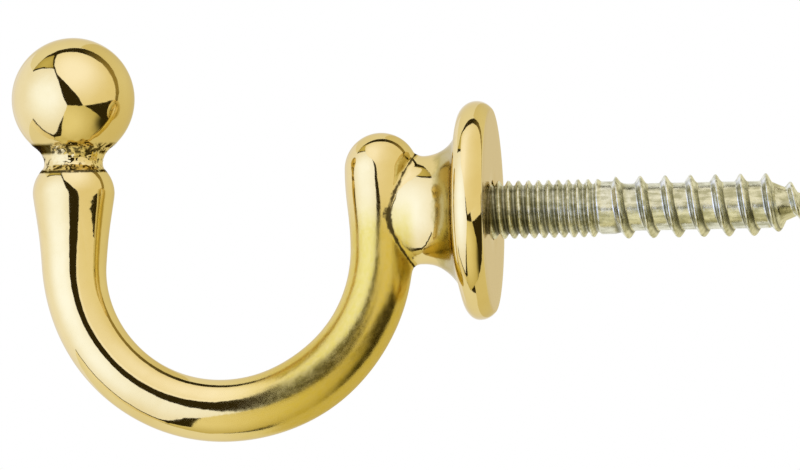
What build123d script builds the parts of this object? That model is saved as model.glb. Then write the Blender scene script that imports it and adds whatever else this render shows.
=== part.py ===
from build123d import *
import math
import os

# Curtain holdback: a cast and turned brass hook on a steel hanger screw. Millimetres.
# The origin is the centre of the flange's flat back, which lies on the wall. +X runs into the
# wall along the screw, +Z is up, and the centre line of the hook lies in the XZ plane.

# Flange and stalk, turned about the screw's axis
flange_diameter = 22.0
rim_radius = 1.8  # section of the rounded rim
rim_setback = 1.5  # from the wall to the middle of the rim's section
stalk_height = 10.9  # across Z at the throat
stalk_sections = 9

# Arm: a near leg beside the wall, a bend of two quarters, and a far leg that carries the ball
near_leg_setback = 11.3  # from the wall to the near leg's centre line
leg_spacing = 31.15  # between the centre lines of the two legs
near_bend_radius = 16.05  # centre line, on the wall's side
bend_drop = 19.7  # from the screw's axis down to the centre line at the bottom
arm_diameter = 6.25  # through the bend
dome_diameter = 7.2  # upper end of the near leg
dome_height = 4.35  # from the screw's axis up to the middle of the dome
near_hold = 0.42  # share of the near leg that keeps the width of its foot, and of its dome

# Ball, neck and shoulder, turned about the far leg's centre line
ball_diameter = 12.4
ball_height = 12.1  # from the screw's axis up to the middle of the ball
neck_diameter = 5.9
neck_drop = 6.55  # from the middle of the ball down to the narrowest place
neck_fillet = 0.9  # between the neck and the shoulder
shoulder_diameter = 8.25
shoulder_drop = 3.0  # from the neck down to the widest place of the shoulder
shoulder_hold = 0.18  # share of the taper that keeps the shoulder's width
far_hold = 0.2  # share of the taper that keeps the width of its foot

# Screw
screw_length = 40.0
thread_diameter = 5.85  # machine thread, over the crests
thread_showing = 10.5  # from the wall to the end of the machine thread
thread_engaged = 6.5  # inside the hook
shank_diameter = 5.3
shank_length = 1.5
wood_diameter = 6.3  # wood thread, over the crests
wood_core_diameter = 4.75
wood_pitch = 2.53
wood_angle = 60.0  # between a ridge's flanks
wood_sink = 0.1  # of a ridge's foot below the core
wood_top_crest = 0.25  # from the wood thread's start to its first crest on top
wood_tip_bare = 0.9  # point beyond the thread's end
wood_runin = 0.15  # turns over which the wood thread rises from the shank
wood_runout = 0.7  # turns over which it dies away on the point
point_length = 5.7
end_chamfer = 0.5
steps_per_turn = 12

# Fit of the screw in the hook
thread_clearance = 0.06  # all round the crests
hole_spare = 1.5  # blind hole beyond the screw's end
drill_angle = 118.0

flange_radius = flange_diameter / 2
throat_half = stalk_height / 2
rim_center_radius = flange_radius - rim_radius
rim_front = -rim_setback - rim_radius
throat_radius = rim_center_radius - throat_half
throat_x = rim_front - throat_radius
back_radius = rim_center_radius + math.sqrt(rim_radius**2 - rim_setback**2)

near_x = -near_leg_setback
far_x = near_x - leg_spacing
far_bend_radius = leg_spacing - near_bend_radius
bend_x = near_x - near_bend_radius
near_foot_z = near_bend_radius - bend_drop
far_foot_z = far_bend_radius - bend_drop

# In plan the stalk narrows to the near leg along an arc that is lowest on the leg's centre line
# and runs tangent into the throat's arc, where the oval stalk becomes the round flange.
stalk_sink = 0.05  # keeps the stalk's end inside the leg
stalk_half_depth = arm_diameter / 2 - stalk_sink
narrowing_angle = 2 * math.atan((throat_half - stalk_half_depth) / (throat_x - near_x))
narrowing_radius = throat_radius + (throat_half - stalk_half_depth) / (
    1 - math.cos(narrowing_angle)
)
joint_x = throat_x + throat_radius * math.sin(narrowing_angle)
joint_radius = throat_half + throat_radius * (1 - math.cos(narrowing_angle))

screw_start = -thread_engaged
screw_end = screw_length - thread_engaged
wood_start = thread_showing + shank_length
point_start = screw_end - point_length
wood_core_radius = wood_core_diameter / 2


def upright_plane(x):
    """The XZ plane with its origin moved along X: sketches on it read (distance, height)."""
    return Plane(origin=(x, 0, 0), x_dir=(1, 0, 0), z_dir=(0, -1, 0))


def turned_leg(outline, x):
    """Turns a closed outline of (radius, height) about the upright line at x."""
    return revolve(make_face(upright_plane(x) * outline), Axis((x, 0, 0), (0, 0, 1)))


def turned_on_screw_axis(outline):
    """Turns a closed outline of (distance along X, radius) about the screw's axis."""
    return revolve(make_face(upright_plane(0) * outline), Axis.X)


def make_far_leg():
    ball = ball_diameter / 2
    neck = neck_diameter / 2
    shoulder = shoulder_diameter / 2
    arm = arm_diameter / 2
    neck_z = ball_height - neck_drop
    shoulder_z = neck_z - shoulder_drop

    # The hollow under the ball is an arc tangent to the ball and upright at the neck.
    hollow = (neck**2 + neck_drop**2 - ball**2) / (2 * (ball - neck))
    lean = math.asin((neck + hollow) / (ball + hollow))
    ball_foot = (ball * math.sin(lean), ball_height - ball * math.cos(lean))

    # The shoulder is an arc tangent to the neck's fillet and upright at its widest place.
    inset = neck + neck_fillet - shoulder
    round_radius = (inset**2 + shoulder_drop**2 - neck_fillet**2) / (2 * (neck_fillet - inset))
    share = round_radius / (round_radius + neck_fillet)
    shoulder_top = (
        shoulder - round_radius + share * (inset + round_radius),
        shoulder_z + share * shoulder_drop,
    )

    taper = shoulder_z - far_foot_z
    outline = (
        Line((0, far_foot_z), (0, ball_height + ball))
        + ThreePointArc((0, ball_height + ball), (ball, ball_height), ball_foot)
        + TangentArc((neck, neck_z), ball_foot, tangent=(0, 1))
        + TangentArc((neck, neck_z), shoulder_top, tangent=(0, -1))
        + TangentArc((shoulder, shoulder_z), shoulder_top, tangent=(0, 1))
        + Bezier(
            (shoulder, shoulder_z),
            (shoulder, shoulder_z - shoulder_hold * taper),
            (arm, far_foot_z + far_hold * taper),
            (arm, far_foot_z),
        )
        + Line((arm, far_foot_z), (0, far_foot_z))
    )
    return turned_leg(outline, far_x)


def make_near_leg():
    dome = dome_diameter / 2
    foot = arm_diameter / 2
    hold = near_hold * (dome_height - near_foot_z)
    top = (0, dome_height + dome)
    outline = (
        Line((0, near_foot_z), top)
        + TangentArc((dome, dome_height), top, tangent=(0, 1))
        + Bezier(
            (dome, dome_height),
            (dome, dome_height - hold),
            (foot, near_foot_z + hold),
            (foot, near_foot_z),
        )
        + Line((foot, near_foot_z), (0, near_foot_z))
    )
    return turned_leg(outline, near_x)


def make_bend_quarter(side, bend_radius, foot_z):
    """Turns the arm's round section from a leg's foot (side +1 near, -1 far) to the bottom."""
    foot = Plane(origin=(bend_x + side * bend_radius, 0, foot_z), z_dir=(0, 0, -1))
    pivot = Axis((bend_x, 0, foot_z), (0, side, 0))
    return revolve(foot * Circle(arm_diameter / 2), pivot, 90)


def make_stalk():
    """Lofts ovals from inside the near leg to the round section where the flange begins."""
    sections = []
    for step in range(stalk_sections):
        angle = narrowing_angle * step / (stalk_sections - 1)
        x = near_x + narrowing_radius * math.sin(angle)
        half_depth = stalk_half_depth + narrowing_radius * (1 - math.cos(angle))
        rise = max(0, x - throat_x)
        half_height = throat_half + throat_radius - math.sqrt(throat_radius**2 - rise**2)
        section = Plane(origin=(x, 0, 0), x_dir=(0, 1, 0), z_dir=(1, 0, 0))
        sections.append(section * Ellipse(half_depth, half_height))
    return loft(sections)


def make_flange():
    outline = (
        Line((0, 0), (joint_x, 0))
        + Line((joint_x, 0), (joint_x, joint_radius))
        + TangentArc((rim_front, rim_center_radius), (joint_x, joint_radius), tangent=(0, -1))
        + TangentArc((rim_front, rim_center_radius), (0, back_radius), tangent=(0, 1))
        + Line((0, back_radius), (0, 0))
    )
    return turned_on_screw_axis(outline)


def make_tapped_hole():
    hole = thread_diameter / 2 + thread_clearance
    depth = thread_engaged + hole_spare
    tip = depth + hole / math.tan(math.radians(drill_angle / 2))
    outline = Polyline((0, 0), (0, hole), (-depth, hole), (-tip, 0), close=True)
    return turned_on_screw_axis(outline)


def make_hook():
    hook = make_far_leg()
    hook += make_bend_quarter(-1, far_bend_radius, far_foot_z)
    hook += make_bend_quarter(1, near_bend_radius, near_foot_z)
    hook += make_near_leg()
    hook += make_stalk()
    hook += make_flange()
    return hook - make_tapped_hole()


def eased(share):
    """Rises smoothly from 0 to 1 as the share does."""
    share = min(1, max(0, share))
    return share * share * (3 - 2 * share)


def make_wood_thread():
    """Lofts the right-handed ridge round the screw's axis, as one solid for each turn or less."""
    height = wood_diameter / 2 - wood_core_radius
    half_foot = (height + wood_sink) * math.tan(math.radians(wood_angle / 2))
    wood_end = screw_end - wood_tip_bare
    runin = wood_runin * wood_pitch
    runout = wood_runout * wood_pitch

    def core_at(x):
        return wood_core_radius * min(1, (screw_end - x) / point_length)

    def section(x):
        angle = 2 * math.pi * (x - wood_start - wood_top_crest) / wood_pitch
        outward = (0, -math.sin(angle), math.cos(angle))
        plane = Plane((0, 0, 0), x_dir=(1, 0, 0), z_dir=(0, -outward[2], outward[1]))
        rise = eased(min((x - wood_start) / runin, (wood_end - x) / runout))
        outline = Polyline(
            (x - half_foot, core_at(x - half_foot) - wood_sink),
            (x, core_at(x) + height * rise - wood_sink / 2 * (1 - rise)),
            (x + half_foot, core_at(x + half_foot) - wood_sink),
            close=True,
        )
        return make_face(plane * outline)

    turns = math.ceil((wood_end - wood_start) / wood_pitch)
    step = (wood_end - wood_start) / (turns * steps_per_turn)
    solids = []
    for turn in range(turns):
        first = wood_start + turn * steps_per_turn * step
        solids.append(loft([section(first + k * step) for k in range(steps_per_turn + 1)]))
    return solids


def make_screw():
    thread = thread_diameter / 2
    shank = shank_diameter / 2
    outline = Polyline(
        (screw_start, 0),
        (screw_start, thread - end_chamfer),
        (screw_start + end_chamfer, thread),
        (thread_showing, thread),
        (thread_showing + thread - shank, shank),
        (wood_start - (shank - wood_core_radius), shank),
        (wood_start, wood_core_radius),
        (point_start, wood_core_radius),
        (screw_end, 0),
        close=True,
    )
    return turned_on_screw_axis(outline).fuse(*make_wood_thread())


hook = make_hook()
screw = make_screw()

os.makedirs("parts", exist_ok=True)
export_step(hook, "parts/hook.step")
export_step(screw, "parts/hanger_screw.step")
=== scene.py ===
import math

import bpy
import numpy as np
from mathutils import Matrix, Vector


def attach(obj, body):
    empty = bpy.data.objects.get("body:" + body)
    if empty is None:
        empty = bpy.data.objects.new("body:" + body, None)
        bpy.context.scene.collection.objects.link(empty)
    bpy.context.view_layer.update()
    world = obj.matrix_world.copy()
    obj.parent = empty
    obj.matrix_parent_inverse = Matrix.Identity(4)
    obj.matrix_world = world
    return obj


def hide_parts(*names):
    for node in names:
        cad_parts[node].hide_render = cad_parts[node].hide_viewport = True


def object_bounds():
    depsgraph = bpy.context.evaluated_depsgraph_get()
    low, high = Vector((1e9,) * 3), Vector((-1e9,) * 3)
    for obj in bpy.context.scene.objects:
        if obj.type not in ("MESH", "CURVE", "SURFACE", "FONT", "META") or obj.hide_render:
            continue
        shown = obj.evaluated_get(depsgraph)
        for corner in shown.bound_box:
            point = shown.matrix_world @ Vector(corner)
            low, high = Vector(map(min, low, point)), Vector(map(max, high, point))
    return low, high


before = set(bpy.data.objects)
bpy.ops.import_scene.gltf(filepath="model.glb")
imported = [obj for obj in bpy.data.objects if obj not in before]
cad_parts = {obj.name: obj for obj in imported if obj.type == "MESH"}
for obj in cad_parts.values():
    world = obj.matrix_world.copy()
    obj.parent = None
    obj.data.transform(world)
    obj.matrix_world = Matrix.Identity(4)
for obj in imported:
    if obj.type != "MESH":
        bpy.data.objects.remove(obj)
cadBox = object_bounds()
mm = 0.001


def smoothStep(share):
    share = np.clip(share, 0, 1)
    return share * share * (3 - 2 * share)


def bezierPoints(first, second, third, last, count):
    t = np.linspace(0, 1, count)[:, None]
    first, second, third, last = (np.array(p, float) for p in (first, second, third, last))
    return (
        first * (1 - t) ** 3
        + second * 3 * t * (1 - t) ** 2
        + third * 3 * t * t * (1 - t)
        + last * t**3
    )


def addObject(name, data):
    made = bpy.data.objects.new(name, data)
    bpy.context.scene.collection.objects.link(made)
    return made


def meshFromParts(name, points, faces):
    mesh = bpy.data.meshes.new(name)
    mesh.from_pydata([tuple(p) for p in points], [], faces)
    mesh.validate()
    mesh.update()
    return mesh


class NodeSheet:
    # a short way to add nodes and wires to a node tree

    def __init__(self, tree):
        self.tree = tree

    def add(self, kind, inputs=None, **settings):
        node = self.tree.nodes.new(kind)
        for name, value in settings.items():
            setattr(node, name, value)
        for key, value in (inputs or {}).items():
            self.feed(node.inputs[key], value)
        return node

    def feed(self, socket, value):
        if isinstance(value, bpy.types.NodeSocket):
            self.tree.links.new(value, socket)
        else:
            socket.default_value = value

    def math(self, operation, first, second=0.0, third=0.0):
        node = self.add("ShaderNodeMath", {0: first, 1: second}, operation=operation)
        if operation == "MULTIPLY_ADD":
            self.feed(node.inputs[2], third)
        return node.outputs[0]

    def times(self, first, *others):
        for other in others:
            first = self.math("MULTIPLY", first, other)
        return first

    def hypot(self, first, second):
        return self.math("SQRT", self.math("MULTIPLY_ADD", first, first, self.times(second, second)))

    def ramp(self, value, low, high, start=0.0, end=1.0, smooth=True):
        node = self.add(
            "ShaderNodeMapRange",
            {"Value": value, "From Min": low, "From Max": high, "To Min": start, "To Max": end},
            interpolation_type="SMOOTHSTEP" if smooth else "LINEAR",
        )
        return node.outputs["Result"]

    def band(self, value, rise, fall):
        # rises from 0 to 1 over the first pair of values and falls back over the second
        return self.times(self.ramp(value, *rise), self.ramp(value, *fall, 1.0, 0.0))

    def mix(self, share, first, second):
        # a colour is a wire or three numbers
        first, second = ((*c, 1) if isinstance(c, tuple) else c for c in (first, second))
        node = self.add("ShaderNodeMix", {"Factor": share, "A": first, "B": second}, data_type="RGBA")
        return node.outputs["Result"]

    def noise(self, place, scale, detail, roughness=0.5):
        node = self.add(
            "ShaderNodeTexNoise",
            {"Vector": place, "Scale": scale, "Detail": detail, "Roughness": roughness},
        )
        return node.outputs["Fac"]

    def inMillimetres(self, place):
        # the place in millimetres, and its x, y and z
        place = self.add("ShaderNodeVectorMath", {0: place, "Scale": 1000.0}, operation="SCALE").outputs[0]
        return place, self.add("ShaderNodeSeparateXYZ", {0: place}).outputs


def emptySheet(owner):
    # node sheet of a material or a world, with nothing on it yet
    owner.use_nodes = True
    sheet = NodeSheet(owner.node_tree)
    sheet.tree.nodes.clear()
    return sheet


cameraSetup = {
    "azimuth": 6.5,  # degrees towards the screw's point, off square to the hook
    "elevation": -6.5,
    "roll": 0.46,
    "distance": 2000.0,
    "sensor": 36.0,
    "frameWidth": 80.25,  # millimetres across the picture at the hook
    "aimAcross": -9.40,  # from the middle of the flange's back
    "aimUp": -2.42,
}


def cameraAxes():
    turn, lift = math.radians(cameraSetup["azimuth"]), math.radians(cameraSetup["elevation"])
    right = Vector((math.cos(turn), math.sin(turn), 0))
    level = Vector((math.sin(turn), -math.cos(turn), 0))
    back = level * math.cos(lift) + Vector((0, 0, math.sin(lift)))
    return right, back.cross(right), back


def makeCamera():
    right, up, back = cameraAxes()
    roll = math.radians(cameraSetup["roll"])
    lens = bpy.data.cameras.new("studioLens")
    lens.sensor_width = cameraSetup["sensor"]
    lens.lens = cameraSetup["sensor"] * cameraSetup["distance"] / cameraSetup["frameWidth"]
    lens.clip_start = 0.05
    lens.clip_end = 50
    aim = right * cameraSetup["aimAcross"] * mm + up * cameraSetup["aimUp"] * mm
    across = right * math.cos(roll) - up * math.sin(roll)
    above = right * math.sin(roll) + up * math.cos(roll)
    place = Matrix((across, above, back)).transposed().to_4x4()
    place.translation = aim + back * cameraSetup["distance"] * mm
    camera = addObject("studioCamera", lens)
    camera.matrix_world = place
    bpy.context.scene.camera = camera


makeCamera()
print("camera ready")


studio = {
    "floorDrop": 400.0,  # below the lowest point of the hook
    "floorSize": 6000.0,
    "floorTone": 0.86,
    "floorMottle": 0.02,
    "floorFade": (0.25, 0.8),  # metres from the hook over which the floor turns white
    "fillStrength": 0.75,
    "shellRadius": 900.0,
    "shellOpening": 103.0,  # half angle of the dark shell round the lens
    "shellTilt": 9.0,
    "shellTurn": 5.0,
    "shellGlow": (0.034, 0.026, 0.009),
}

# each card: corners as (sideways, upwards) angles from the lens seen from the ball, and its glow,
# which fades from the focus to the edge over the spread; the right softbox has a near twin
studioCards = {
    "leftSoftbox": {
        "corners": (
            (-10, -11), (-36, 40), (-56, 54), (-105, 34), (-128, 32), (-158, 26), (-158, -24), (-112, -27),
            (-92, -21), (-86, -37), (-80, -52), (-74, -59), (-64, -59), (-50, -56), (-35, -46), (-19, -29),
        ),
        "glow": (1.31, 1.52, 2.62),
        "edgeGlow": (1.10, 1.15, 1.50),
        "focus": (-52, 4),
        "spread": 62,
        "distances": (800,),
    },
    "rightSoftbox": {
        "corners": (
            (20, -11), (68, -3), (84, -1), (89, 19), (94, 44), (102, 67), (-140, 80), (-113, 70), (-60, 59),
            (-34, 43), (-8, 26),
        ),
        "glow": (1.25, 1.29, 1.70),
        "edgeGlow": (0.99, 0.93, 0.76),
        "focus": (0, 52),
        "spread": 72,
        "distances": (90, 800),
    },
    "upperLeftCard": {
        "corners": ((-60, 55), (-118, 65), (-116, 50), (-108, 36)),
        "glow": (0.70, 0.63, 0.28),
        "edgeGlow": (0.45, 0.37, 0.12),
        "focus": (-92, 52),
        "spread": 26,
        "distances": (760,),
    },
    "tableCard": {
        "corners": (
            (-10, -11), (22, -11), (45, -23), (72, -33), (74, -48), (62, -82), (-120, -78), (-92, -64),
            (-77, -64), (-64, -70), (-41, -61), (-28, -48), (-19, -29),
        ),
        "glow": (0.99, 0.94, 0.68),
        "edgeGlow": (0.60, 0.52, 0.20),
        "focus": (-14, -42),
        "spread": 68,
        "distances": (780,),
        "dimSpot": (76, -32),  # darkest place of the card
        "dimReach": (8, 30),  # degrees from it over which the glow comes back
        "dimGlow": 0.06,
    },
    "sideGap": {
        "corners": (
            (80, -1), (97, -1), (104, 15), (110, 29), (119, 42), (134, 57), (150, 70), (98, 66), (88, 40),
            (84, 19),
        ),
        "glow": (0.36, 0.28, 0.10),
        "edgeGlow": (0.05, 0.04, 0.015),
        "focus": (92, 26),
        "spread": 58,
        "distances": (840,),
    },
    "lowGap": {
        "corners": (
            (-95, -20), (-89, -38), (-84, -54), (-80, -62), (-92, -66), (-104, -44), (-107, -24),
        ),
        "glow": (1.06, 1.04, 1.02),
        "edgeGlow": (0.88, 0.80, 0.56),
        "focus": (-106, -26),
        "spread": 42,
        "distances": (840,),
    },
    "rightWall": {
        "corners": (
            (64, -76), (76, -50), (85, -32), (94, 0), (101, 15), (107, 29), (116, 42), (128, 54), (147, 63),
            (163, 62), (170, 0), (160, -60), (145, -68),
        ),
        "glow": (0.90, 0.86, 0.66),
        "edgeGlow": (0.84, 0.78, 0.53),
        "focus": (120, 20),
        "spread": 60,
        "distances": (800,),
    },
}


def cardDirection(sideways, upwards):
    right, up, back = cameraAxes()
    side, rise = math.radians(sideways), math.radians(upwards)
    flat = right * math.sin(side) + back * math.cos(side)
    return flat * math.cos(rise) + up * math.sin(rise)


def finishGlow(sheet, colour, strength=1.0):
    glow = sheet.add("ShaderNodeEmission", {"Color": colour, "Strength": strength})
    sheet.add("ShaderNodeOutputMaterial", {"Surface": glow.outputs[0]})


def angleFrom(sheet, way, direction):
    near = sheet.add("ShaderNodeVectorMath", {0: way, 1: tuple(direction)}, operation="DOT_PRODUCT")
    return sheet.math("ARCCOSINE", near.outputs["Value"])


def fadingGlow(name, card, middle):
    material = bpy.data.materials.new(name)
    sheet = emptySheet(material)
    place = sheet.add("ShaderNodeTexCoord").outputs["Object"]
    way = sheet.add("ShaderNodeVectorMath", {0: place, 1: tuple(middle)}, operation="SUBTRACT").outputs[0]
    way = sheet.add("ShaderNodeVectorMath", {0: way}, operation="NORMALIZE").outputs[0]
    off = angleFrom(sheet, way, cardDirection(*card["focus"]))
    share = sheet.ramp(off, math.radians(card["spread"] * 0.12), math.radians(card["spread"]))
    strength = 1.0
    if "dimSpot" in card:
        off = angleFrom(sheet, way, cardDirection(*card["dimSpot"]))
        inner, outer = (math.radians(v) for v in card["dimReach"])
        strength = sheet.ramp(off, inner, outer, card["dimGlow"], 1.0)
    finishGlow(sheet, sheet.mix(share, card["glow"], card["edgeGlow"]), strength)
    return material


def onlyInReflections(thing):
    thing.visible_camera = False
    thing.visible_diffuse = False
    thing.visible_transmission = False
    thing.visible_volume_scatter = False
    thing.visible_shadow = False


def makeCards(middle):
    for name, card in studioCards.items():
        glow = fadingGlow(name + "Glow", card, middle)
        for distance in card["distances"]:
            points = [middle + cardDirection(*c) * distance * mm for c in card["corners"]]
            points.append(sum(points, Vector()) / len(points))
            last = len(points) - 1
            faces = [(k, (k + 1) % last, last) for k in range(last)]
            made = addObject(name, meshFromParts(name, points, faces))
            made.data.materials.append(glow)
            onlyInReflections(made)


def makeShell(middle):
    right = cameraAxes()[0]
    axis = cardDirection(studio["shellTurn"], studio["shellTilt"])
    top = axis.cross(right).normalized()
    side = top.cross(axis)
    rings, sides = 24, 72
    points, faces = [middle + axis * studio["shellRadius"] * mm], []
    for ring in range(1, rings + 1):
        lean = math.radians(studio["shellOpening"]) * ring / rings
        for k in range(sides):
            turn = 2 * math.pi * k / sides
            out = side * math.cos(turn) + top * math.sin(turn)
            way = axis * math.cos(lean) + out * math.sin(lean)
            points.append(middle + way * studio["shellRadius"] * mm)
    for k in range(sides):
        following = (k + 1) % sides
        faces.append((0, 1 + k, 1 + following))
        for ring in range(rings - 1):
            low, high = 1 + ring * sides, 1 + (ring + 1) * sides
            faces.append((low + k, high + k, high + following, low + following))
    shell = addObject("darkShell", meshFromParts("darkShell", points, faces))
    material = bpy.data.materials.new("darkShellGlow")
    finishGlow(emptySheet(material), (*studio["shellGlow"], 1))
    shell.data.materials.append(material)
    onlyInReflections(shell)


def seenDirectly(sheet):
    # 1 for rays from the lens, from polished metal and through glass
    path = sheet.add("ShaderNodeLightPath")
    total = sheet.math("ADD", path.outputs["Is Camera Ray"], path.outputs["Is Glossy Ray"])
    total = sheet.math("ADD", total, path.outputs["Is Transmission Ray"])
    return sheet.math("MINIMUM", total, 1.0)


def makeWorld():
    world = bpy.data.worlds.new("paleStudio")
    bpy.context.scene.world = world
    sheet = emptySheet(world)
    strength = sheet.ramp(seenDirectly(sheet), 0, 1, studio["fillStrength"], 1.0, smooth=False)
    glow = sheet.add("ShaderNodeBackground", {"Color": (1, 1, 1, 1), "Strength": strength})
    sheet.add("ShaderNodeOutputWorld", {"Surface": glow.outputs[0]})


def makeFloor():
    lowest = cadBox[0].z - studio["floorDrop"] * mm
    half = studio["floorSize"] / 2 * mm
    corners = [(-half, -half, lowest), (half, -half, lowest), (half, half, lowest), (-half, half, lowest)]
    floor = addObject("floor", meshFromParts("floor", corners, [(0, 1, 2, 3)]))
    material = bpy.data.materials.new("paleFloor")
    sheet = emptySheet(material)
    place = sheet.add("ShaderNodeTexCoord").outputs["Object"]
    away = sheet.add("ShaderNodeVectorMath", {0: place}, operation="LENGTH").outputs["Value"]
    grain = sheet.noise(place, scale=60.0, detail=4.0)
    pale, mottle = studio["floorTone"], studio["floorMottle"]
    tone = sheet.ramp(grain, 0, 1, pale - mottle, pale + mottle)
    colour = sheet.add("ShaderNodeCombineColor", {"Red": tone, "Green": tone, "Blue": tone})
    paint = sheet.add("ShaderNodeBsdfDiffuse", {"Color": colour.outputs[0], "Roughness": 0.6})
    white = sheet.add("ShaderNodeEmission", {"Color": (1, 1, 1, 1), "Strength": 1.0})
    fade = sheet.math("MAXIMUM", sheet.ramp(away, *studio["floorFade"]), 0.25)
    share = sheet.times(fade, seenDirectly(sheet))
    both = sheet.add("ShaderNodeMixShader", {0: share, 1: paint.outputs[0], 2: white.outputs[0]})
    sheet.add("ShaderNodeOutputMaterial", {"Surface": both.outputs[0]})
    floor.data.materials.append(material)
    floor.visible_glossy = False


lamps = {
    "overheadLamp": {"place": (-250, -300, 700), "size": 600, "power": 3.0},
    "sideLamp": {"place": (500, -500, 300), "size": 500, "power": 1.5},
}


def makeLamps():
    for name, lamp in lamps.items():
        light = bpy.data.lights.new(name, "AREA")
        light.size = lamp["size"] * mm
        light.energy = lamp["power"]
        made = addObject(name, light)
        made.location = Vector(lamp["place"]) * mm
        made.rotation_euler = made.location.to_track_quat("Z", "Y").to_euler()
        made.visible_glossy = False


def newMetal(name):
    material = bpy.data.materials.new(name)
    material.use_nodes = True
    sheet = NodeSheet(material.node_tree)
    metal = sheet.tree.nodes["Principled BSDF"]
    metal.inputs["Metallic"].default_value = 1.0
    return material, sheet, metal


brassLook = {
    "colour": (0.775, 0.625, 0.270),
    "warmColour": (0.735, 0.575, 0.225),
    "edgeTint": (0.84, 0.80, 0.72),
    "polish": (0.045, 0.075),  # roughness where it was buffed well
    # base colour of the dull zone, darker and more olive: a painted reflection
    "dullColour": (0.655, 0.490, 0.080),
    "dullPolish": (0.20, 0.27),  # roughness along the near half of the bend
    "dullFrom": (-30.0, -18.5),  # x over which it grows dull
    "dullUpTo": (-8.6, -7.2),  # x over which it is bright again, on the stalk
    "dullBelow": (2.0, -3.0),  # heights over which the near leg grows dull
    "rippleHeight": 0.00002,
    "grainHeight": 0.000008,
    "throat": ((-5.9, -4.9), (-3.6, -3.0)),  # where the ring of painted shade round the throat begins and ends
    "throatShadeColour": (0.42, 0.34, 0.09),
    "seamEdge": (0.86, 0.97),  # how sharply the line of grime at the join ends
    "grimeAndShadeColour": (0.070, 0.050, 0.015),
    "neckTop": ((6.4, 6.8), (7.4, 7.8)),  # heights of the ring of painted shade under the ball
    # heights of the painted dark spots between the rings, and of the ring of painted shade at the neck's
    # foot
    "neckMiddle": ((4.9, 5.1), (6.6, 6.9)),
    "neckFoot": ((4.60, 4.74), (4.88, 5.02)),
    "neckTilt": -0.113,  # the rings lie a little lower in front
    "neckOuterSide": (-44.1, -44.5),  # beyond this the upper ring is dark all over: painted reflection of a dark place below the ball
    "backColour": (0.76, 0.67, 0.48),  # flat back of the flange
    "backTint": (0.83, 0.73, 0.56),
}


def bendGrain(sheet, axes):
    # the grain is a little longer along the bend than across it
    fromX = sheet.math("SUBTRACT", axes["X"], hookSizes["nearLeg"] - hookSizes["nearBend"])
    fromZ = sheet.math("SUBTRACT", axes["Z"], hookSizes["bendBottom"] + hookSizes["nearBend"])
    sweep = sheet.times(sheet.math("ARCTAN2", fromZ, fromX), 9.0)
    swept = sheet.add("ShaderNodeCombineXYZ", {"X": sweep, "Y": sheet.hypot(fromX, fromZ), "Z": axes["Y"]})
    return sheet.noise(swept.outputs[0], scale=2.4, detail=4.0, roughness=0.62)


def neckPaintedShade(sheet, place, axes, uneven):
    # painted shade and painted dark reflections in the crinkles of the neck: two rings and a few spots
    # between them
    look = brassLook
    spots = sheet.noise(place, scale=1.75, detail=4.0, roughness=0.65)
    tilted = sheet.math("MULTIPLY_ADD", axes["Y"], look["neckTilt"], axes["Z"])
    height = sheet.math("MULTIPLY_ADD", uneven, 0.16, tilted)
    outerSide = sheet.ramp(sheet.math("ADD", axes["X"], uneven), *look["neckOuterSide"])
    upper = sheet.math("MAXIMUM", sheet.ramp(spots, 0.45, 0.57), outerSide)
    upper = sheet.times(sheet.band(height, *look["neckTop"]), upper)
    middle = sheet.times(sheet.band(height, *look["neckMiddle"]), sheet.ramp(spots, 0.56, 0.63))
    foot = sheet.times(sheet.band(height, *look["neckFoot"]), sheet.ramp(spots, 0.36, 0.50, 0.25, 1.0))
    neckShade = sheet.math("MAXIMUM", sheet.math("MAXIMUM", upper, middle), foot)
    farLegOnly = sheet.math("LESS_THAN", axes["X"], -36.0)
    return sheet.times(neckShade, farLegOnly)


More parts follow.
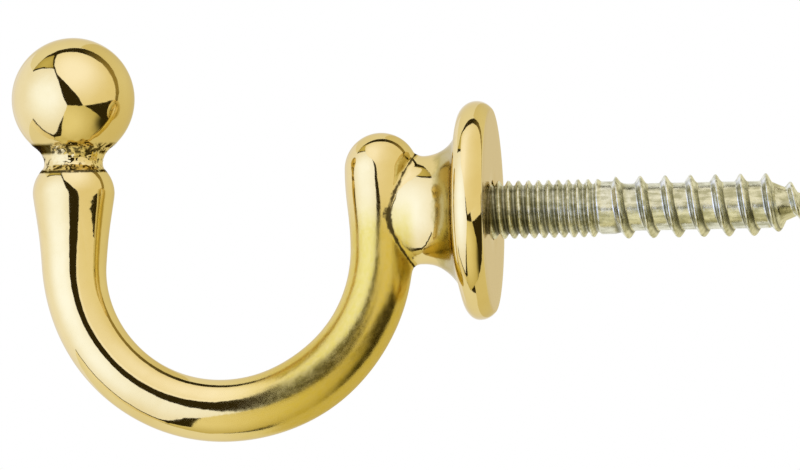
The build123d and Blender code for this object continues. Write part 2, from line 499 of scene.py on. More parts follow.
def makeBrass():
    look = brassLook
    material, sheet, metal = newMetal("polishedBrass")
    place, axes = sheet.inMillimetres(sheet.add("ShaderNodeTexCoord").outputs["Object"])
    cloud = sheet.noise(place, scale=0.16, detail=5.0, roughness=0.6)
    grain = bendGrain(sheet, axes)
    dull = sheet.times(
        sheet.ramp(axes["X"], *look["dullFrom"]),
        sheet.ramp(axes["Z"], *look["dullBelow"]),
        sheet.ramp(axes["X"], *look["dullUpTo"], 1.0, 0.0),
    )
    bright = sheet.ramp(cloud, 0.3, 0.7, *look["polish"])
    matt = sheet.ramp(grain, 0.3, 0.7, *look["dullPolish"])
    rough = sheet.math("MULTIPLY_ADD", sheet.math("SUBTRACT", matt, bright), dull, bright)
    colour = sheet.mix(sheet.ramp(cloud, 0.3, 0.7), look["colour"], look["warmColour"])
    # darker, more olive colour over the dull near half of the bend: painted reflection of the dark stripe
    # along it
    paintedReflectionShare = sheet.times(dull, sheet.ramp(grain, 0.25, 0.7, 1.0, 0.7))
    colour = sheet.mix(paintedReflectionShare, colour, look["dullColour"])

    # painted shade darkens the hollow of the throat, and grime sits in the join
    patches = sheet.noise(place, scale=0.9, detail=5.0, roughness=0.7)
    uneven = sheet.math("MULTIPLY_ADD", patches, 1.6, -0.8)
    throat = sheet.times(sheet.band(sheet.math("ADD", axes["X"], uneven), *look["throat"]), 0.8)
    colour = sheet.mix(throat, colour, look["throatShadeColour"])
    seam = sheet.add("ShaderNodeAttribute", attribute_name="seam").outputs["Fac"]
    seam = sheet.ramp(sheet.math("MULTIPLY_ADD", uneven, 0.34, seam), *look["seamEdge"])
    # grime in the join, and the painted shade and dark reflections of the neck
    darkening = sheet.math("MAXIMUM", seam, neckPaintedShade(sheet, place, axes, uneven))
    colour = sheet.mix(sheet.times(darkening, 0.96), colour, look["grimeAndShadeColour"])
    edge = sheet.mix(sheet.times(darkening, 0.93), look["edgeTint"], look["grimeAndShadeColour"])

    back = sheet.ramp(axes["X"], -0.12, -0.02)
    sheet.feed(metal.inputs["Base Color"], sheet.mix(back, colour, look["backColour"]))
    sheet.feed(metal.inputs["Specular Tint"], sheet.mix(back, edge, look["backTint"]))
    rough = sheet.math("MULTIPLY_ADD", throat, 0.12, rough)
    rough = sheet.math("MULTIPLY_ADD", back, 0.02, rough)
    sheet.feed(metal.inputs["Roughness"], sheet.math("MULTIPLY_ADD", darkening, 0.25, rough))

    # soft ripples, hardly any on the flat back, and a fine grain, strongest where the brass is dull
    ripple = sheet.add(
        "ShaderNodeBump",
        {
            "Height": sheet.noise(place, scale=0.55, detail=2.0),
            "Strength": sheet.math("MULTIPLY_ADD", back, -0.9, 1.0),
            "Distance": look["rippleHeight"],
        },
    )
    fine = sheet.add(
        "ShaderNodeBump",
        {
            "Height": grain,
            "Strength": sheet.math("MULTIPLY_ADD", dull, 0.9, 0.1),
            "Distance": look["grainHeight"],
            "Normal": ripple.outputs["Normal"],
        },
    )
    sheet.feed(metal.inputs["Normal"], fine.outputs["Normal"])
    return material


steelLook = {
    "colour": (0.76, 0.745, 0.58),
    "dullColour": (0.44, 0.43, 0.28),
    "grimeAndShadeColour": (0.10, 0.095, 0.055),
    "roughness": (0.17, 0.31),
    "threadEnds": 10.9,
    "threadRoot": (2.44, 2.72),  # radii between which the painted shade in the machine thread's roots fades
    "ridgeFoot": (2.40, 2.46, 2.80),  # radii of the painted shade at the foot of the wood thread
    "woodStarts": 12.2,
    "speckHeight": 0.00004,
}


def makeSteel():
    look = steelLook
    material, sheet, metal = newMetal("screwSteel")
    place, axes = sheet.inMillimetres(sheet.add("ShaderNodeTexCoord").outputs["Object"])
    radius = sheet.hypot(axes["Y"], axes["Z"])
    cloud = sheet.noise(place, scale=0.7, detail=5.0, roughness=0.65)
    specks = sheet.noise(place, scale=3.2, detail=4.0, roughness=0.7)

    # painted shade in the machine thread's roots, darker underneath and beside the flange
    machine = sheet.ramp(axes["X"], look["threadEnds"] - 0.4, look["threadEnds"], 1.0, 0.0)
    root = sheet.ramp(radius, *look["threadRoot"], 1.0, 0.0)
    beneath = sheet.ramp(axes["Z"], 1.6, -1.8, 0.4, 0.9)
    darkening = sheet.times(machine, root, sheet.times(beneath, sheet.ramp(axes["X"], 2.0, 8.0, 1.0, 0.55)))

    # painted shade at the foot of the wood thread, darker underneath, and pits where there is no machine
    # thread
    start, full, end = look["ridgeFoot"]
    past = sheet.ramp(axes["X"], look["woodStarts"], look["woodStarts"] + 0.4)
    beneath = sheet.ramp(axes["Z"], 1.8, -1.0, 0.35, 0.75)
    foot = sheet.times(sheet.band(radius, (start, full), (full, end)), past, beneath)
    darkening = sheet.math("MAXIMUM", darkening, foot)
    pits = sheet.times(sheet.ramp(specks, 0.62, 0.72), sheet.ramp(cloud, 0.45, 0.6))
    pits = sheet.times(pits, sheet.math("SUBTRACT", 1.0, machine))
    # pits, together with the painted shade of the thread roots and ridge feet
    dark = sheet.math("MINIMUM", sheet.math("MULTIPLY_ADD", pits, 0.8, darkening), 1.0)

    # drawing marks run along the wire
    lengthwise = sheet.times(axes["X"], 0.22)
    drawn = sheet.add("ShaderNodeCombineXYZ", {"X": lengthwise, "Y": axes["Y"], "Z": axes["Z"]})
    marks = sheet.noise(drawn.outputs[0], scale=2.2, detail=4.0, roughness=0.6)
    mottle = sheet.math("MULTIPLY_ADD", cloud, 0.5, sheet.times(marks, 0.5))
    colour = sheet.mix(sheet.ramp(mottle, 0.42, 0.60), look["colour"], look["dullColour"])
    sheet.feed(metal.inputs["Base Color"], sheet.mix(dark, colour, look["grimeAndShadeColour"]))
    rough = sheet.ramp(specks, 0.3, 0.7, *look["roughness"])
    sheet.feed(metal.inputs["Roughness"], sheet.math("MULTIPLY_ADD", dark, 0.2, rough))
    bump = sheet.add(
        "ShaderNodeBump", {"Height": specks, "Strength": 0.4, "Distance": look["speckHeight"]}
    )
    sheet.feed(metal.inputs["Normal"], bump.outputs["Normal"])
    return material


hookSizes = {
    # centre line of the arm, in millimetres from the middle of the flange's back
    "farLeg": -42.45,
    "nearLeg": -11.3,
    "farBend": 15.1,
    "nearBend": 16.05,
    "bendBottom": -19.695,
    "ballHeight": 12.1,
    "domeHeight": 4.35,
    # radii of the arm, and the drops and eases between them
    "ball": 6.2,
    "neck": 2.95,
    "neckDrop": 6.55,
    "neckFillet": 0.9,
    "shoulder": 4.125,
    "shoulderDrop": 3.0,
    "waist": 3.05,  # thinnest part of the bend, on the ball's side
    "waistEnds": 50.0,  # degrees round the bend, from the far leg's foot
    "waistEase": 60.0,  # degrees more, over which it thickens
    "taperReach": 5.0,  # how fast the shoulder thins out into the bend
    "taperPower": 1.3,
    "nearArm": 3.15,
    "swell": 0.11,  # slight thickening of the near half of the bend
    "swellAngle": 34.0,  # degrees past the bottom
    "swellSpread": 17.0,
    "nearHold": 0.42,
    "dome": 3.68,
    # stalk, flange and tapped hole
    "stalkDepth": 3.075,  # half sizes, this and the next
    "stalkHeight": 5.45,
    "stalkRaise": 0.14,  # the stalk sits a little above the screw's axis
    "flange": 10.996,
    "rim": 1.8,
    "rimSetback": 1.5,
    "hole": 2.985,
    "holeDepth": 8.0,
    "drillAngle": 118.0,
    "edgeSoftness": 0.14,  # of the back's edges
    "wornFoot": 0.3,  # polished away from the front of the rim at its lowest part
    "stalkSides": 144,
    # soft join between the stalk and the arm
    "joinWidth": 0.62,
    "joinWave": 0.16,
    "joinWaveGrain": 1.7,
    "joinReach": 2.2,
    "joinEnd": -6.3,  # x beyond which the stalk is left as it is
    "seamReach": 1.3,  # how far the grime beside the join fades out
    # skin of the arm
    "skin": {
        "Sides": 144,
        "Crinkle": 0.11,  # millimetres, hand-filed neck
        "Crinkle Grain": 1.75,  # waves in a millimetre
        "Crinkle Low": 4.4,  # heights between which the neck is uneven
        "Crinkle High": 7.8,
        "Crinkle Edge": 0.45,
        "Ripple": 0.006,
        "Ripple Grain": 0.22,
        "Seed": 4.0,
    },
}


def farLegOutline():
    # heights and radii of the far leg, from the top of the ball to the shoulder
    s = hookSizes
    neckZ = s["ballHeight"] - s["neckDrop"]
    shoulderZ = neckZ - s["shoulderDrop"]
    hollow = (s["neck"] ** 2 + s["neckDrop"] ** 2 - s["ball"] ** 2) / (2 * (s["ball"] - s["neck"]))
    lean = math.asin((s["neck"] + hollow) / (s["ball"] + hollow))
    inset = s["neck"] + s["neckFillet"] - s["shoulder"]
    dropSquared = s["shoulderDrop"] ** 2
    roundRadius = (inset**2 + dropSquared - s["neckFillet"] ** 2) / (2 * (s["neckFillet"] - inset))
    reach = math.asin(s["shoulderDrop"] / (roundRadius + s["neckFillet"]))
    if inset + roundRadius < 0:
        reach = math.pi - reach

    outline = []
    for t in np.linspace(0, math.pi - lean, 64):
        outline.append((s["ballHeight"] + s["ball"] * math.cos(t), s["ball"] * math.sin(t)))
    for t in np.linspace(math.pi / 2 - lean, 0, 44)[1:]:
        outline.append((neckZ + hollow * math.sin(t), s["neck"] + hollow * (1 - math.cos(t))))
    for t in np.linspace(0, reach, 12)[1:]:
        height = neckZ - s["neckFillet"] * math.sin(t)
        outline.append((height, s["neck"] + s["neckFillet"] * (1 - math.cos(t))))
    for t in np.linspace(reach, 0, 26)[1:]:
        height = shoulderZ + roundRadius * math.sin(t)
        outline.append((height, s["shoulder"] - roundRadius * (1 - math.cos(t))))
    return outline


def armStations():
    # places along the arm's centre line, from the ball's top to the dome's, as x, z and radius
    s = hookSizes
    farFoot = s["bendBottom"] + s["farBend"]
    nearFoot = s["bendBottom"] + s["nearBend"]
    bendX = s["nearLeg"] - s["nearBend"]
    upright = farLegOutline()
    shoulderZ = upright[-1][0]
    hold = s["nearHold"] * (s["domeHeight"] - nearFoot)
    pastTaper = 60  # a length at which nothing is left of the shoulder's taper

    def bendRadius(length, angle):
        taper = math.exp(-((length / s["taperReach"]) ** s["taperPower"]))
        thickening = smoothStep((angle - s["waistEnds"]) / s["waistEase"])
        base = s["waist"] + (s["nearArm"] - s["waist"]) * thickening
        bump = s["swell"] * math.exp(-(((angle - 90 - s["swellAngle"]) / s["swellSpread"]) ** 2))
        return base + (s["shoulder"] - s["waist"]) * taper + bump

    stations = [(s["farLeg"], z, r) for z, r in upright]
    for z in np.linspace(shoulderZ, farFoot, 30)[1:]:
        stations.append((s["farLeg"], z, bendRadius(shoulderZ - z, 0)))
    for t in np.linspace(0, math.pi / 2, 50)[1:]:
        x = bendX - s["farBend"] * math.cos(t)
        length = shoulderZ - farFoot + s["farBend"] * t
        radius = bendRadius(length, math.degrees(t))
        stations.append((x, farFoot - s["farBend"] * math.sin(t), radius))
    for t in np.linspace(0, math.pi / 2, 66)[1:]:
        x = bendX + s["nearBend"] * math.sin(t)
        radius = bendRadius(pastTaper, 90 + math.degrees(t))
        stations.append((x, nearFoot - s["nearBend"] * math.cos(t), radius))
    foot = stations[-1][2]
    flank = bezierPoints(
        (nearFoot, foot),
        (nearFoot + hold, foot),
        (s["domeHeight"] - hold, s["dome"]),
        (s["domeHeight"], s["dome"]),
        44,
    )
    stations += [(s["nearLeg"], z, r) for z, r in flank[1:]]
    for t in np.linspace(0, math.pi / 2, 34)[1:]:
        height = s["domeHeight"] + s["dome"] * math.sin(t)
        stations.append((s["nearLeg"], height, s["dome"] * math.cos(t)))
    return stations


def softCorner(before, corner, after):
    # a short curve in place of a corner of an outline
    before, corner, after = (np.array(p, float) for p in (before, corner, after))
    curve = []
    for t in np.linspace(0, 1, 6):
        curve.append(tuple(before * (1 - t) ** 2 + corner * 2 * t * (1 - t) + after * t * t))
    return curve


def stalkStations():
    # rings about the screw's axis, as x, half depth and half height, to the bottom of the hole
    s = hookSizes
    rimMiddle = s["flange"] - s["rim"]
    rimFront = -s["rimSetback"] - s["rim"]
    throat = rimMiddle - s["stalkHeight"]
    throatX = rimFront - throat
    grow = s["stalkHeight"] - s["stalkDepth"]
    sweep = 2 * math.atan(grow / (throatX - s["nearLeg"]))
    curve = throat + grow / (1 - math.cos(sweep))
    backEdge = rimMiddle + math.sqrt(s["rim"] ** 2 - s["rimSetback"] ** 2)
    drillTip = s["holeDepth"] + s["hole"] / math.tan(math.radians(s["drillAngle"] / 2))
    soft = s["edgeSoftness"]

    # end cap inside the near leg, stalk and throat
    rings = [(s["nearLeg"], 0.0, 0.0)]
    for share in (0.3, 0.6, 0.85):
        rings.append((s["nearLeg"], s["stalkDepth"] * share, s["stalkHeight"] * share))
    for t in np.linspace(0, sweep, 52):
        x = s["nearLeg"] + curve * math.sin(t)
        depth = s["stalkDepth"] + curve * (1 - math.cos(t))
        rise = max(0.0, x - throatX)
        height = s["stalkHeight"] + throat - math.sqrt(throat**2 - rise**2)
        rings.append((x, depth, height))
    for t in np.linspace(sweep, math.pi / 2, 16)[1:]:
        radius = s["stalkHeight"] + throat * (1 - math.cos(t))
        rings.append((throatX + throat * math.sin(t), radius, radius))

    # rim, flat back and tapped hole
    backAngle = math.pi / 2 + math.asin(s["rimSetback"] / s["rim"])
    softAngle = backAngle - soft / s["rim"]
    for t in np.linspace(0, softAngle, 44)[1:]:
        radius = rimMiddle + s["rim"] * math.sin(t)
        rings.append((-s["rimSetback"] - s["rim"] * math.cos(t), radius, radius))
    outline = softCorner((rings[-1][0], rings[-1][1]), (0, backEdge), (0, backEdge - soft))[1:]
    for share in (0.75, 0.5, 0.25):
        outline.append((0, s["hole"] + (backEdge - s["hole"]) * share))
    outline += softCorner((0, s["hole"] + soft), (0, s["hole"]), (-soft, s["hole"]))
    for share in (0.25, 0.5, 0.75, 0.95, 1.0):
        outline.append((-s["holeDepth"] * share, s["hole"]))
    outline.append((-(s["holeDepth"] + drillTip) / 2, s["hole"] / 2))
    rings += [(x, radius, radius) for x, radius in outline]
    rings.append((-drillTip, 0.0, 0.0))
    return rings


def stalkLift(x):
    # how far the middle of the stalk lies above the screw's axis
    reach = -hookSizes["rimSetback"] - hookSizes["rim"]
    return hookSizes["stalkRaise"] * smoothStep((reach - x) / 3.0)


def makeStalkForm():
    # closed skin over the rings; the first and last are points
    rings, sides = stalkStations(), hookSizes["stalkSides"]
    points = [(rings[0][0], 0, 0)]
    for x, depth, height in rings[1:-1]:
        for k in range(sides):
            turn = 2 * math.pi * k / sides
            points.append((x, depth * math.cos(turn), height * math.sin(turn)))
    points.append((rings[-1][0], 0, 0))
    points = np.array(points)
    outer = np.hypot(points[:, 1], points[:, 2]) > hookSizes["hole"] + 0.01

    # the rim is worn in front, well below the screw's axis, and the throat isn't
    front = smoothStep((-points[:, 0] - 1.4) / 2.0)
    beneath = smoothStep((-points[:, 2] - 5.5) / 4.0)
    outOfThroat = smoothStep((points[:, 0] + 7.0) / 3.0)
    points[:, 2] += np.where(outer, stalkLift(points[:, 0]), 0)
    points[:, 0] += hookSizes["wornFoot"] * (front * beneath) * outOfThroat

    last = len(points) - 1
    faces = []
    for k in range(sides):
        following = (k + 1) % sides
        faces.append((0, 1 + following, 1 + k))
        for ring in range(len(rings) - 3):
            low, high = 1 + ring * sides, 1 + (ring + 1) * sides
            faces.append((low + k, low + following, high + following, high + k))
        low = last - sides
        faces.append((low + k, low + following, last))
    return addObject("stalkForm", meshFromParts("stalkForm", points * mm, faces))


def newTree(name, values, **others):
    # a node group with a geometry input and output and one named input for each value
    tree = bpy.data.node_groups.new(name, "GeometryNodeTree")
    kinds = {label: "Int" if isinstance(value, int) else "Float" for label, value in values.items()}
    kinds.update(others)
    tree.interface.new_socket("Geometry", in_out="INPUT", socket_type="NodeSocketGeometry")
    for label, kind in kinds.items():
        tree.interface.new_socket(label, in_out="INPUT", socket_type="NodeSocket" + kind)
    tree.interface.new_socket("Geometry", in_out="OUTPUT", socket_type="NodeSocketGeometry")
    return tree


def setInputs(modifier, values):
    for item in modifier.node_group.interface.items_tree:
        if item.item_type == "SOCKET" and item.in_out == "INPUT" and item.name in values:
            modifier[item.identifier] = values[item.name]


def finishTree(sheet, geometry, material):
    real = sheet.add("GeometryNodeRealizeInstances", {"Geometry": geometry})
    smooth = sheet.add("GeometryNodeSetShadeSmooth", {"Geometry": real.outputs["Geometry"]})
    painted = sheet.add(
        "GeometryNodeSetMaterial", {"Geometry": smooth.outputs["Geometry"], "Material": material}
    )
    out = sheet.add("NodeGroupOutput")
    sheet.tree.links.new(painted.outputs["Geometry"], out.inputs["Geometry"])


def bakedMesh(thing, name):
    # the mesh that an object's modifiers make, with the object itself taken away
    bpy.context.view_layer.update()
    ready = thing.evaluated_get(bpy.context.evaluated_depsgraph_get())
    mesh = bpy.data.meshes.new_from_object(ready)
    mesh.name = name
    bpy.data.objects.remove(thing)
    return mesh


def armTree():
    sheet = NodeSheet(newTree("sweptArm", hookSizes["skin"], Stalk="Object", Brass="Material"))
    given = sheet.add("NodeGroupInput").outputs
    circle = sheet.add("GeometryNodeCurvePrimitiveCircle", {"Resolution": given["Sides"], "Radius": 1.0})
    width = sheet.add("GeometryNodeInputRadius").outputs["Radius"]
    swept = sheet.add(
        "GeometryNodeCurveToMesh",
        {"Curve": given["Geometry"], "Profile Curve": circle.outputs["Curve"], "Scale": width},
    )
    closed = sheet.add("GeometryNodeMergeByDistance", {"Geometry": swept.outputs["Mesh"], "Distance": 1e-6})

    # crinkles of the neck, and a slight ripple all over
    place, axes = sheet.inMillimetres(sheet.add("GeometryNodeInputPosition").outputs["Position"])
    lowEnd = sheet.math("ADD", given["Crinkle Low"], given["Crinkle Edge"])
    highEnd = sheet.math("SUBTRACT", given["Crinkle High"], given["Crinkle Edge"])
    low = sheet.ramp(axes["Z"], given["Crinkle Low"], lowEnd)
    high = sheet.ramp(axes["Z"], given["Crinkle High"], highEnd)
    neck = sheet.times(low, high, sheet.math("LESS_THAN", axes["X"], -30.0))
    uneven = sheet.add(
        "ShaderNodeTexNoise",
        {
            "Vector": place,
            "W": given["Seed"],
            "Scale": given["Crinkle Grain"],
            "Detail": 2.5,
            "Distortion": 0.6,
        },
        noise_dimensions="4D",
    )
    deep = sheet.times(sheet.math("SUBTRACT", uneven.outputs[0], 0.5), given["Crinkle"])
    deep = sheet.times(deep, neck, 2.0)
    soft = sheet.add(
        "ShaderNodeTexNoise",
        {"Vector": place, "W": given["Seed"], "Scale": given["Ripple Grain"], "Detail": 1.0},
        noise_dimensions="4D",
    )
    shallow = sheet.times(sheet.math("SUBTRACT", soft.outputs[0], 0.5), given["Ripple"])
    push = sheet.times(sheet.math("ADD", deep, shallow), mm)
    facing = sheet.add("GeometryNodeInputNormal").outputs["Normal"]
    shift = sheet.add("ShaderNodeVectorMath", {0: facing, "Scale": push}, operation="SCALE").outputs[0]
    moved = sheet.add("GeometryNodeSetPosition", {"Geometry": closed.outputs["Geometry"], "Offset": shift})

    stalk = sheet.add("GeometryNodeObjectInfo", {"Object": given["Stalk"]})
    joined = sheet.add("GeometryNodeMeshBoolean", operation="UNION", solver="EXACT")
    sheet.tree.links.new(moved.outputs["Geometry"], joined.inputs["Mesh 2"])
    sheet.tree.links.new(stalk.outputs["Geometry"], joined.inputs["Mesh 2"])
    finishTree(sheet, joined.outputs["Mesh"], given["Brass"])
    return sheet.tree


def armField(points, stations):
    # distance to the near leg's skin, its dome and the bend below it
    s = hookSizes
    x, y, z = points.T
    nearFoot = s["bendBottom"] + s["nearBend"]
    bendX = s["nearLeg"] - s["nearBend"]
    leg = [(h, r) for sx, h, r in stations if sx == s["nearLeg"] and nearFoot <= h <= s["domeHeight"]]
    heights, radii = np.array(sorted(leg)).T
    upright = np.hypot(x - s["nearLeg"], y) - np.interp(z, heights, radii)
    dome = np.sqrt((x - s["nearLeg"]) ** 2 + y**2 + (z - s["domeHeight"]) ** 2) - s["dome"]
    bend = np.hypot(np.hypot(x - bendX, z - nearFoot) - s["nearBend"], y) - radii[0]
    return np.where(z > s["domeHeight"], dome, np.where(z < nearFoot, bend, upright))


def stalkField(points, rings):
    # distance to the oval stalk, near enough close to its skin
    x, y, z = points.T
    z = z - stalkLift(x)
    pastCap = rings[4:]
    places = np.array([r for r in pastCap if r[0] <= -4.0 and r[1] > hookSizes["hole"]])
    places = places[: np.argmax(places[:, 0]) + 1]
    depth = np.interp(x, places[:, 0], places[:, 1])
    height = np.interp(x, places[:, 0], places[:, 2])
    level = np.sqrt((y / depth) ** 2 + (z / height) ** 2)
    slope = np.sqrt((y / depth**2) ** 2 + (z / height**2) ** 2) / np.maximum(level, 1e-6)
    return (level - 1) / np.maximum(slope, 1e-6)


def fieldSlope(field, points):
    step = 0.002
    slope = np.empty_like(points)
    for axis in range(3):
        shift = np.zeros(3)
        shift[axis] = step
        slope[:, axis] = (field(points + shift) - field(points - shift)) / (2 * step)
    return slope


def softenJoin(mesh):
    # moves the skin near the stalk's root onto a soft join of the two forms and gives it its normals
    s = hookSizes
    stations, rings = armStations(), stalkStations()
    points = np.empty(len(mesh.vertices) * 3)
    mesh.vertices.foreach_get("co", points)
    points = points.reshape(-1, 3) / mm

    def arm(q):
        return armField(q, stations)

    def stalk(q):
        return stalkField(q, rings)

    near = (points[:, 0] > s["nearLeg"] + 0.2) & (points[:, 0] < s["joinEnd"])
    near &= (np.abs(arm(points)) < s["joinReach"]) & (np.abs(stalk(points)) < s["joinReach"])
    near &= np.hypot(points[:, 1], points[:, 2]) > s["hole"] + 0.05
    chosen = np.flatnonzero(near)
    p = points[chosen]
    grain = s["joinWaveGrain"]
    wave = np.sin(p[:, 2] * grain * 1.3 + 1.0) + np.sin(p[:, 2] * grain * 2.9 + p[:, 1])
    width = s["joinWidth"] * (1 + s["joinWave"] * wave)

    # narrower where the two skins run nearly the same way
    slopes = [fieldSlope(f, p) for f in (arm, stalk)]
    units = [v / np.linalg.norm(v, axis=1, keepdims=True) for v in slopes]
    width = np.maximum(width * (1 - (units[0] * units[1]).sum(axis=1)), 1e-4) * 1.6

    def joined(q):
        first, second = arm(q), stalk(q)
        share = np.clip(0.5 + 0.5 * (second - first) / width, 0, 1)
        return second * (1 - share) + first * share - width * share * (1 - share)

    for _ in range(4):
        slope = fieldSlope(joined, p)
        p = p - joined(p)[:, None] * slope / (slope**2).sum(axis=1, keepdims=True)
    moved = np.linalg.norm(p - points[chosen], axis=1)
    points[chosen] = p
    mesh.vertices.foreach_set("co", (points * mm).ravel())
    mesh.update()
    seam = np.zeros(len(points), dtype=np.float32)
    seam[chosen] = np.clip(1 - np.abs(arm(p) - stalk(p)) / s["seamReach"], 0, 1)
    mesh.attributes.new("seam", "FLOAT", "POINT").data.foreach_set("value", seam)
    normals = np.zeros_like(points)
    slope = fieldSlope(joined, p)
    normals[chosen] = slope / np.linalg.norm(slope, axis=1, keepdims=True)
    mesh.normals_split_custom_set_from_vertices(normals.tolist())
    print("soft join:", len(chosen), "points, moved by up to", round(float(moved.max()), 3), "mm")


def makeHook(brass):
    stations = armStations()
    line = bpy.data.curves.new("armLine", "CURVE")
    line.dimensions = "3D"
    spline = line.splines.new("POLY")
    spline.points.add(len(stations) - 1)
    for point, (x, z, radius) in zip(spline.points, stations):
        point.co = (x * mm, 0, z * mm, 1)
        point.radius = radius * mm
    lineObject = addObject("armLine", line)
    stalk = makeStalkForm()
    modifier = lineObject.modifiers.new("sweptArm", "NODES")
    modifier.node_group = armTree()
    setInputs(modifier, {**hookSizes["skin"], "Stalk": stalk, "Brass": brass})
    mesh = bakedMesh(lineObject, "hookBody")
    bpy.data.objects.remove(stalk)
    softenJoin(mesh)
    return addObject("hookBody", mesh)


screwSizes = {
    "Start": -6.5,
    "Thread End": 10.5,
    "Thread Pitch": 1.0,
    "Thread Crest": 0.55,  # from the wall to a crest on top
    "Thread Radius": 2.925,
    "Thread Root": 2.42,
    "Chamfer": 0.5,
    "Shank Radius": 2.65,
    "Wood Start": 12.0,
    "Wood Pitch": 2.53,
    "Wood Crest": 12.25,
    "Wood Radius": 3.15,
    "Core Radius": 2.375,
    "Core Ease": 1.7,  # length over which the shank thins to the core
    "Ridge Half Width": 0.68,
    "Point Length": 5.7,
    "End": 33.5,
    "Bare Tip": 0.9,
    "Run In": 0.42,
    "Run Out": 1.8,
    "Dents": 0.022,
    "Dent Grain": 1.4,
    "Seed": 7.0,
    "Sides": 80,
    "Rows": 28,  # in each turn
    "Turns": 30,
}


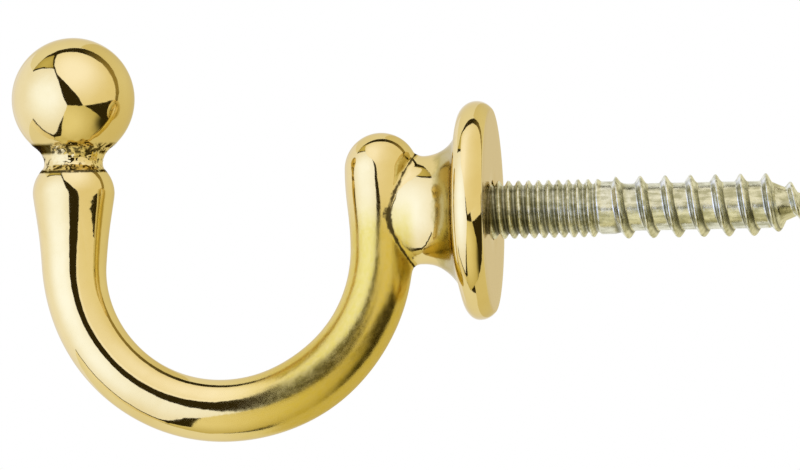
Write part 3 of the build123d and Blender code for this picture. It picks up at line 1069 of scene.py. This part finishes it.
def screwTree():
    sheet = NodeSheet(newTree("turnedScrew", screwSizes, Steel="Material"))
    given = sheet.add("NodeGroupInput").outputs
    do = sheet.math

    # one flat grid is wound round the axis: a column is a place round it, a unit of height one turn
    columns = do("ADD", given["Sides"], 1.0)
    rows = do("MULTIPLY_ADD", given["Rows"], given["Turns"], 1.0)
    grid = sheet.add(
        "GeometryNodeMeshGrid",
        {"Size X": 1.0, "Size Y": given["Turns"], "Vertices X": columns, "Vertices Y": rows},
    )
    flat = sheet.add("GeometryNodeInputPosition").outputs["Position"]
    spot = sheet.add("ShaderNodeSeparateXYZ", {0: flat}).outputs
    around = do("ADD", spot["X"], 0.5)
    row = do("SUBTRACT", do("MULTIPLY_ADD", given["Turns"], 0.5, spot["Y"]), 2.0)
    turn = do("ADD", around, row)

    # distance along the screw, at the machine thread's pitch and then at the wood thread's
    threadTurns = do("DIVIDE", do("SUBTRACT", given["Thread End"], given["Start"]), given["Thread Pitch"])
    slow = do("MULTIPLY_ADD", do("MINIMUM", turn, threadTurns), given["Thread Pitch"], given["Start"])
    fast = do("MAXIMUM", do("SUBTRACT", turn, threadTurns), 0.0)
    along = do("MULTIPLY_ADD", fast, given["Wood Pitch"], slow)
    along = do("MINIMUM", do("MAXIMUM", along, given["Start"]), given["End"])

    # machine thread
    crest = do("DIVIDE", do("SUBTRACT", given["Thread Crest"], given["Start"]), given["Thread Pitch"])
    phase = do("FRACT", do("ADD", do("SUBTRACT", row, crest), 60.5))
    off = do("ABSOLUTE", do("SUBTRACT", phase, 0.5))
    thread = sheet.ramp(off, 0.03, 0.46, given["Thread Radius"], given["Thread Root"])
    threadGone = do("ADD", given["Thread End"], 0.5)
    gone = sheet.ramp(along, given["Thread End"], threadGone)
    thread = do("MULTIPLY_ADD", do("SUBTRACT", given["Shank Radius"], thread), gone, thread)

    # core of the wood thread and the point
    easeEnd = do("ADD", given["Wood Start"], given["Core Ease"])
    core = sheet.ramp(along, given["Wood Start"], easeEnd, given["Shank Radius"], given["Core Radius"])
    core = do("MINIMUM", core, thread)
    left = do("DIVIDE", do("SUBTRACT", given["End"], along), given["Point Length"])
    core = sheet.times(core, do("MINIMUM", left, 1.0))
    beyond = do("GREATER_THAN", along, threadGone)
    plain = do("MULTIPLY_ADD", do("SUBTRACT", core, thread), beyond, thread)

    # wood thread
    crest = do("DIVIDE", do("SUBTRACT", given["Wood Crest"], given["Thread End"]), given["Wood Pitch"])
    phase = do("FRACT", do("ADD", do("SUBTRACT", do("SUBTRACT", row, threadTurns), crest), 60.5))
    off = sheet.times(do("ABSOLUTE", do("SUBTRACT", phase, 0.5)), given["Wood Pitch"])
    ridge = sheet.ramp(off, 0.0, given["Ridge Half Width"], 1.0, 0.0)
    begins = do("DIVIDE", do("SUBTRACT", along, given["Wood Start"]), given["Run In"])
    woodEnd = do("SUBTRACT", given["End"], given["Bare Tip"])
    ends = do("DIVIDE", do("SUBTRACT", woodEnd, along), given["Run Out"])
    rise = sheet.ramp(do("MINIMUM", begins, ends), 0.0, 1.0)
    height = do("SUBTRACT", given["Wood Radius"], given["Core Radius"])
    top = do("MINIMUM", do("ADD", core, height), given["Wood Radius"])
    radius = do("ADD", plain, sheet.times(do("SUBTRACT", top, core), ridge, rise))

    # chamfered start, closed by a flat disc
    startRadius = do("SUBTRACT", given["Thread Radius"], given["Chamfer"])
    radius = do("MINIMUM", radius, do("ADD", do("SUBTRACT", along, given["Start"]), startRadius))
    disc = do("MINIMUM", do("MAXIMUM", do("ADD", turn, 1.0), 0.0), 1.0)
    radius = sheet.times(radius, disc)

    angle = sheet.times(around, 2 * math.pi)
    across = sheet.times(do("SINE", angle), -1.0)
    upward = do("COSINE", angle)

    def wound(distance):
        place = {"X": along, "Y": sheet.times(across, distance), "Z": sheet.times(upward, distance)}
        return sheet.add("ShaderNodeCombineXYZ", place).outputs[0]

    # small dents, only inwards
    worn = sheet.add(
        "ShaderNodeTexNoise",
        {
            "Vector": wound(radius),
            "W": given["Seed"],
            "Scale": given["Dent Grain"],
            "Detail": 3.0,
            "Roughness": 0.6,
        },
        noise_dimensions="4D",
    )
    dent = sheet.times(do("SUBTRACT", worn.outputs[0], 0.62), given["Dents"], 2.0)
    dent = sheet.times(do("MINIMUM", dent, 0.0), sheet.ramp(radius, 0.2, 1.0))
    final = wound(do("ADD", radius, dent))
    final = sheet.add("ShaderNodeVectorMath", {0: final, "Scale": mm}, operation="SCALE").outputs[0]
    placed = sheet.add("GeometryNodeSetPosition", {"Geometry": grid.outputs["Mesh"], "Position": final})
    closed = sheet.add(
        "GeometryNodeMergeByDistance", {"Geometry": placed.outputs["Geometry"], "Distance": 2e-6}
    )
    finishTree(sheet, closed.outputs["Geometry"], given["Steel"])
    return sheet.tree


def makeScrew(steel):
    carrier = addObject("screwForm", bpy.data.meshes.new("screwForm"))
    modifier = carrier.modifiers.new("turnedScrew", "NODES")
    modifier.node_group = screwTree()
    setInputs(modifier, {**screwSizes, "Steel": steel})
    mesh = bakedMesh(carrier, "hangerScrew")
    return addObject("hangerScrew", mesh)


brass = makeBrass()
steel = makeSteel()
print("brass and steel ready")

hookBody = makeHook(brass)
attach(hookBody, "root")
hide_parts("hook")
print("hook ready:", len(hookBody.data.polygons), "faces")

hangerScrew = makeScrew(steel)
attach(hangerScrew, "root")
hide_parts("hanger_screw")
print("screw ready:", len(hangerScrew.data.polygons), "faces")

ballMiddle = Vector((hookSizes["farLeg"], 0, hookSizes["ballHeight"])) * mm
makeCards(ballMiddle)
makeShell(ballMiddle)
makeWorld()
makeFloor()
makeLamps()
bpy.context.scene.view_settings.view_transform = "Standard"
print("studio ready:", len(studioCards), "cards")
